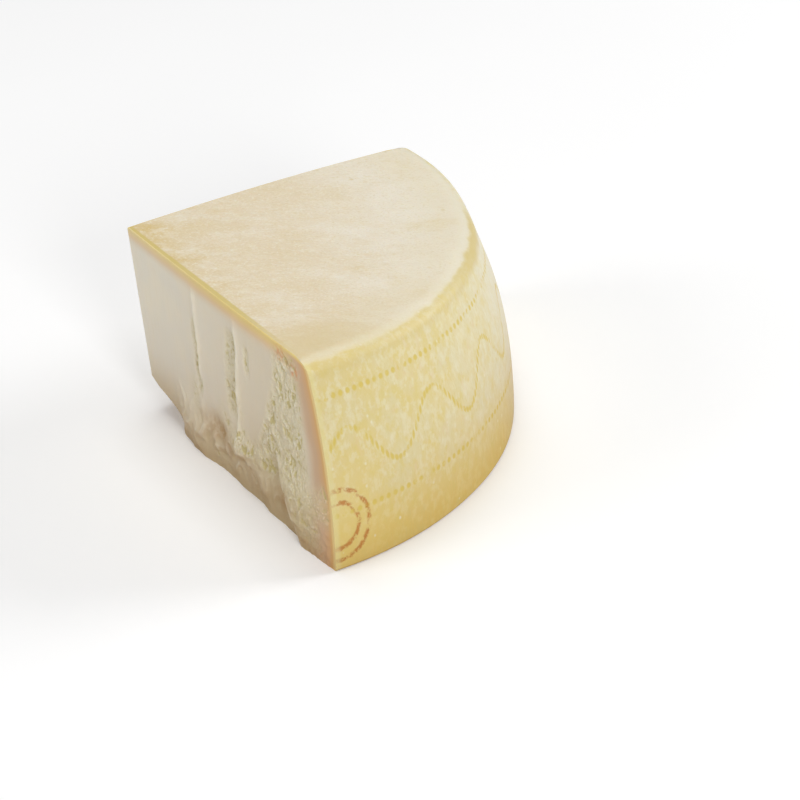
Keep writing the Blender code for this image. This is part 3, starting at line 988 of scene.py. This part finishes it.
def side_colour(nodes):
    """The wheel's round side: waxy pale yellow, mottled with cream, painted deeper yellow towards the foot as
    shade, with a painted sheen towards its far end.
    """
    cloud = nodes.noise((24, 24, 24), seed=21.0)
    colour = nodes.mix(nodes.step(cloud, 0.36, 0.64), tint(230, 213, 153), tint(229, 217, 171))
    colour = nodes.lay(colour, nodes.along(60, 190), 0.75, tint(233, 226, 196))
    # A painted sheen: paler towards the side's far end, where it turns away.
    pale = nodes.times(nodes.along(150, 225), nodes.along(330, 240))
    colour = nodes.lay(colour, pale, 0.7, tint(241, 236, 218))
    colour = nodes.lay(colour, nodes.along(60, 10), 0.4, tint(226, 203, 132))
    kept = nodes.plus(nodes.times(pale, -0.8), 1.0)
    # Painted shade and warm bounce light: deeper yellow towards the foot.
    low = nodes.times(nodes.step(nodes.height(), 50, 0), kept)
    colour = nodes.lay(colour, low, 0.85, tint(230, 202, 110))
    deep = nodes.noise((7, 7, 9), roughness=0.6, seed=23.0)
    deep = nodes.times(nodes.step(deep, 0.42, 0.66), kept)
    colour = nodes.lay(colour, deep, 0.55, tint(227, 207, 124))
    cream = nodes.noise((4.5, 4.5, 6), roughness=0.6, seed=22.0)
    # Lower down the cream flecks take the painted shade's deeper yellow.
    cream_tint = nodes.mix(low, tint(239, 232, 202), tint(236, 216, 143))
    colour = nodes.lay(colour, nodes.step(cream, 0.44, 0.66), 0.55, cream_tint)
    rosy = nodes.noise((6, 6, 14), detail=4.0, roughness=0.7, seed=26.0)
    rosy = nodes.times(nodes.step(rosy, 0.54, 0.68), nodes.plus(nodes.times(low, -0.4), 0.4))
    colour = nodes.mix(rosy, colour, tint(231, 208, 166))
    streak = nodes.noise((0.9, 0.9, 10), seed=24.0)
    colour = nodes.lay(colour, nodes.step(streak, 0.5, 0.68), 0.4, tint(223, 207, 138))
    corner = nodes.times(nodes.along(48, 14), nodes.step(nodes.height(), 78, 36))
    colour = nodes.lay(colour, corner, 0.5, tint(234, 209, 126))
    flecks = nodes.step(nodes.spots((6, 6, 7), seed=25.0), 0.2, 0.06)
    return nodes.lay(colour, flecks, 0.6, tint(245, 240, 219))


def off_dot(nodes, spacing):
    """How far to either side, in millimetres, the nearest of a row of dots is."""
    along = nodes.times(nodes.mark("along"), 1 / spacing)
    return nodes.times(nodes.plus(nodes.math("FRACT", along), -0.5), spacing)


def level_row(nodes, line_height):
    """Round dots in a level row round the side."""
    off = off_dot(nodes, DOT_SPACING_MM)
    up = nodes.plus(nodes.height(), -line_height)
    reach = nodes.reach(off, up)
    return nodes.step(reach, DOT_RADIUS_MM * 1.4, DOT_RADIUS_MM * 0.6)


def wavy_line(nodes):
    """A dotted line that waves up and down as it runs round the side."""
    turn = math.tau / WAVE_LENGTH_MM
    angle = nodes.times(nodes.mark("along"), turn)
    wave = nodes.plus(nodes.times(nodes.math("SINE", angle), WAVE_HEIGHT_MM), WAVE_MIDDLE_MM)
    slope = nodes.times(nodes.math("COSINE", angle), WAVE_HEIGHT_MM * turn)
    stretch = nodes.math("SQRT", nodes.plus(nodes.times(slope, slope), 1.0))
    off = nodes.math("DIVIDE", nodes.math("SUBTRACT", nodes.height(), wave), stretch)
    beside = nodes.times(off_dot(nodes, WAVE_DOT_SPACING_MM), stretch)
    reach = nodes.reach(off, beside)
    return nodes.step(reach, WAVE_DOT_RADIUS_MM * 1.4, WAVE_DOT_RADIUS_MM * 0.5)


def side_prints(nodes):
    """Plain marks pressed into the side, worn in places: two dotted rows and a wavy line between them."""
    rows = nodes.math("MAXIMUM", level_row(nodes, UPPER_ROW_MM), level_row(nodes, LOWER_ROW_MM))
    rows = nodes.math("MAXIMUM", rows, wavy_line(nodes))
    worn = nodes.step(nodes.noise((13, 13, 13), detail=4.0, roughness=0.65, seed=35.0), 0.36, 0.5)
    return nodes.times(rows, worn)


def burnt_rings(nodes):
    """Two plain rings, one within the other, burnt into the side and cut through by the front cut."""
    across = nodes.plus(nodes.mark("along"), -RING_ALONG_MM)
    up = nodes.plus(nodes.height(), -RING_HEIGHT_MM)
    reach = nodes.reach(across, up)
    stray = nodes.plus(nodes.noise((2.5, 2.5, 2.5), seed=36.0), -0.5)
    ragged = nodes.plus(reach, nodes.times(stray, 2.6))
    rings = None
    for radius in RING_RADII_MM:
        off = nodes.math("ABSOLUTE", nodes.plus(ragged, -radius))
        ring = nodes.step(off, RING_LINE_MM, RING_LINE_MM * 0.3)
        rings = ring if rings is None else nodes.math("MAXIMUM", rings, ring)
    worn = nodes.step(nodes.noise((4, 4, 4), detail=5.0, roughness=0.7, seed=37.0), 0.42, 0.56)
    return nodes.times(rings, worn)


def rim_colour(nodes, colour, way):
    """The colour with a painted highlight along the rim, a yellow band below it and deeper tones on the flat
    face beside it.
    """
    by_corner = nodes.times(nodes.along(90, 15), nodes.times(nodes.step(way, -8, -2), nodes.step(way, 40, 4)))
    colour = nodes.lay(colour, by_corner, 0.6, tint(218, 195, 141))
    inside = nodes.times(nodes.step(way, -9, -3), nodes.step(way, 34, 2))
    colour = nodes.lay(colour, inside, 0.25, tint(229, 214, 170))
    band = nodes.times(nodes.step(way, -28, -19), nodes.step(way, -10, -15))
    band_share = nodes.plus(nodes.times(nodes.along(110, 190), 0.4), 0.38)
    band = nodes.times(nodes.times(band, band_share), nodes.along(270, 225))
    colour = nodes.mix(band, colour, tint(216, 194, 122))
    # A painted highlight along the rim.
    pale = nodes.times(nodes.step(way, -13, -10), nodes.step(way, -2, -7))
    rim_highlight_tint = nodes.mix(nodes.along(30, 120), tint(230, 218, 178), tint(236, 228, 201))
    colour = nodes.lay(colour, pale, 0.55, rim_highlight_tint)
    return colour


def margin_colour(nodes, colour, way, on_top):
    """The colour with an olive margin along the cuts' top edges and a pale line down by the front cut."""
    from_cut = nodes.mark("from_cut")
    margin = nodes.times(nodes.step(from_cut, 3.3, 2.1), on_top)
    margin = nodes.times(margin, nodes.step(nodes.slant((0.0, -1.0, 0.0)), 85, 10))
    colour = nodes.lay(colour, margin, 0.85, tint(214, 193, 116))
    side_line = nodes.times(nodes.step(from_cut, 4.5, 1.5), nodes.step(way, -6, -14))
    colour = nodes.lay(colour, side_line, 0.6, tint(234, 221, 160))
    return colour


def rind_relief(nodes, prints, burnt):
    """Shallow dents, a fine grain and the marks pressed into the rind."""
    dents = nodes.noise((9, 9, 9), seed=32.0)
    fine = nodes.noise((1.2, 1.2, 1.8), seed=33.0)
    normal = nodes.bump(dents, 1.2 * MM, 0.3)
    normal = nodes.bump(fine, 0.3 * MM, 0.45, normal)
    pressed = nodes.math("MAXIMUM", nodes.times(prints, 0.3), nodes.times(burnt, 0.6))
    normal = nodes.bump(nodes.times(pressed, -1.0), 0.4 * MM, 0.6, normal)
    return normal


def rind_material():
    """The rind: the flat face and the round side, the rim between them, the prints and the margins."""
    nodes = Nodes("cheese_rind")
    stray = nodes.noise((12, 12, 12), seed=31.0)
    way = nodes.plus(nodes.mark("rim_way"), nodes.times(nodes.plus(stray, -0.5), 9.0))
    on_top = nodes.step(way, -14, -8)
    colour = nodes.mix(on_top, side_colour(nodes), top_colour(nodes))
    colour = rim_colour(nodes, colour, way)
    prints = side_prints(nodes)
    colour = nodes.lay(colour, prints, 0.85, tint(223, 199, 96))
    burnt = burnt_rings(nodes)
    colour = nodes.lay(colour, burnt, 0.85, tint(196, 126, 58))
    colour = margin_colour(nodes, colour, way, on_top)
    nodes.put(nodes.shader.inputs["Base Color"], colour)
    normal = rind_relief(nodes, prints, burnt)
    return finish(nodes, normal, roughness=0.5, specular=0.35, subsurface=0.08, radius=(1.0, 0.7, 0.35))


def floor_material():
    """A floor that looks plain and pale, but throws warm light back at the block's foot.

    Only what the camera sees of it is pale and glows a little; the light it returns is warmer.
    """
    nodes = Nodes("pale_floor")
    cloud = nodes.noise((180, 180, 180), detail=2.0, seed=41.0)
    seen = nodes.mix(cloud, tint(248, 248, 248), tint(251, 251, 251))
    flat = nodes.tree.nodes.new("ShaderNodeVectorMath")
    flat.operation = "LENGTH"
    nodes.put(flat.inputs[0], nodes.millimetres)
    outer = WARM_FLOOR_RADIUS_MM + WARM_FLOOR_FADE_MM
    near = nodes.step(flat.outputs["Value"], outer, WARM_FLOOR_RADIUS_MM - WARM_FLOOR_FADE_MM)
    thrown = nodes.mix(near, tint(235, 235, 235), tint(178, 143, 104))
    path = nodes.tree.nodes.new("ShaderNodeLightPath")
    seen_only = path.outputs["Is Camera Ray"]
    nodes.put(nodes.shader.inputs["Base Color"], nodes.mix(seen_only, thrown, seen))
    nodes.shader.inputs["Emission Color"].default_value = (1.0, 1.0, 1.0, 1.0)
    nodes.put(nodes.shader.inputs["Emission Strength"], nodes.times(seen_only, FLOOR_GLOW))
    nodes.shader.inputs["Roughness"].default_value = 0.8
    return nodes.material


# ---- stage, lights and camera

def make_floor():
    mesh = bpy.data.meshes.new("floor")
    half = FLOOR_HALF
    corners = [(-half, -half, 0.0), (half, -half, 0.0), (half, half, 0.0), (-half, half, 0.0)]
    mesh.from_pydata(corners, [], [(0, 1, 2, 3)])
    mesh.materials.append(floor_material())
    floor = bpy.data.objects.new("floor", mesh)
    bpy.context.scene.collection.objects.link(floor)


def add_softbox(name, place, size, power):
    """A square area light that faces the middle of the block."""
    light = bpy.data.lights.new(name, "AREA")
    light.shape = "SQUARE"
    light.size = size
    light.energy = power
    lamp = bpy.data.objects.new(name, light)
    lamp.location = place
    lamp.rotation_euler = (Vector((0.0, 0.0, HEIGHT / 2)) - Vector(place)).to_track_quat("-Z", "Y").to_euler()
    bpy.context.scene.collection.objects.link(lamp)


def light_the_stage():
    world = bpy.data.worlds.new("studio")
    world.use_nodes = True
    background = world.node_tree.nodes["Background"]
    background.inputs["Color"].default_value = (1.0, 1.0, 1.0, 1.0)
    background.inputs["Strength"].default_value = SKY_STRENGTH
    bpy.context.scene.world = world
    for name, place, size, power in SOFTBOXES:
        add_softbox(name, place, size, power)
    bpy.context.scene.view_settings.view_transform = "Standard"


def place_camera():
    data = bpy.data.cameras.new("photo_camera")
    data.sensor_width = SENSOR_MM
    data.lens = FOCAL_PIXELS / FRAME_PIXELS * SENSOR_MM
    data.clip_start = 0.05
    data.clip_end = 50.0
    camera = bpy.data.objects.new("photo_camera", data)
    up = CAMERA_RIGHT.cross(CAMERA_AHEAD)
    turn = Matrix((CAMERA_RIGHT, up, -CAMERA_AHEAD)).transposed().to_4x4()
    camera.matrix_world = Matrix.Translation(CAMERA_PLACE) @ turn
    bpy.context.scene.collection.objects.link(camera)
    bpy.context.scene.camera = camera


def main():
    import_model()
    wedge = make_wedge([rind_material(), paste_material()])
    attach(wedge, "root")
    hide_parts("cheese_wedge")
    make_floor()
    light_the_stage()
    place_camera()


main()
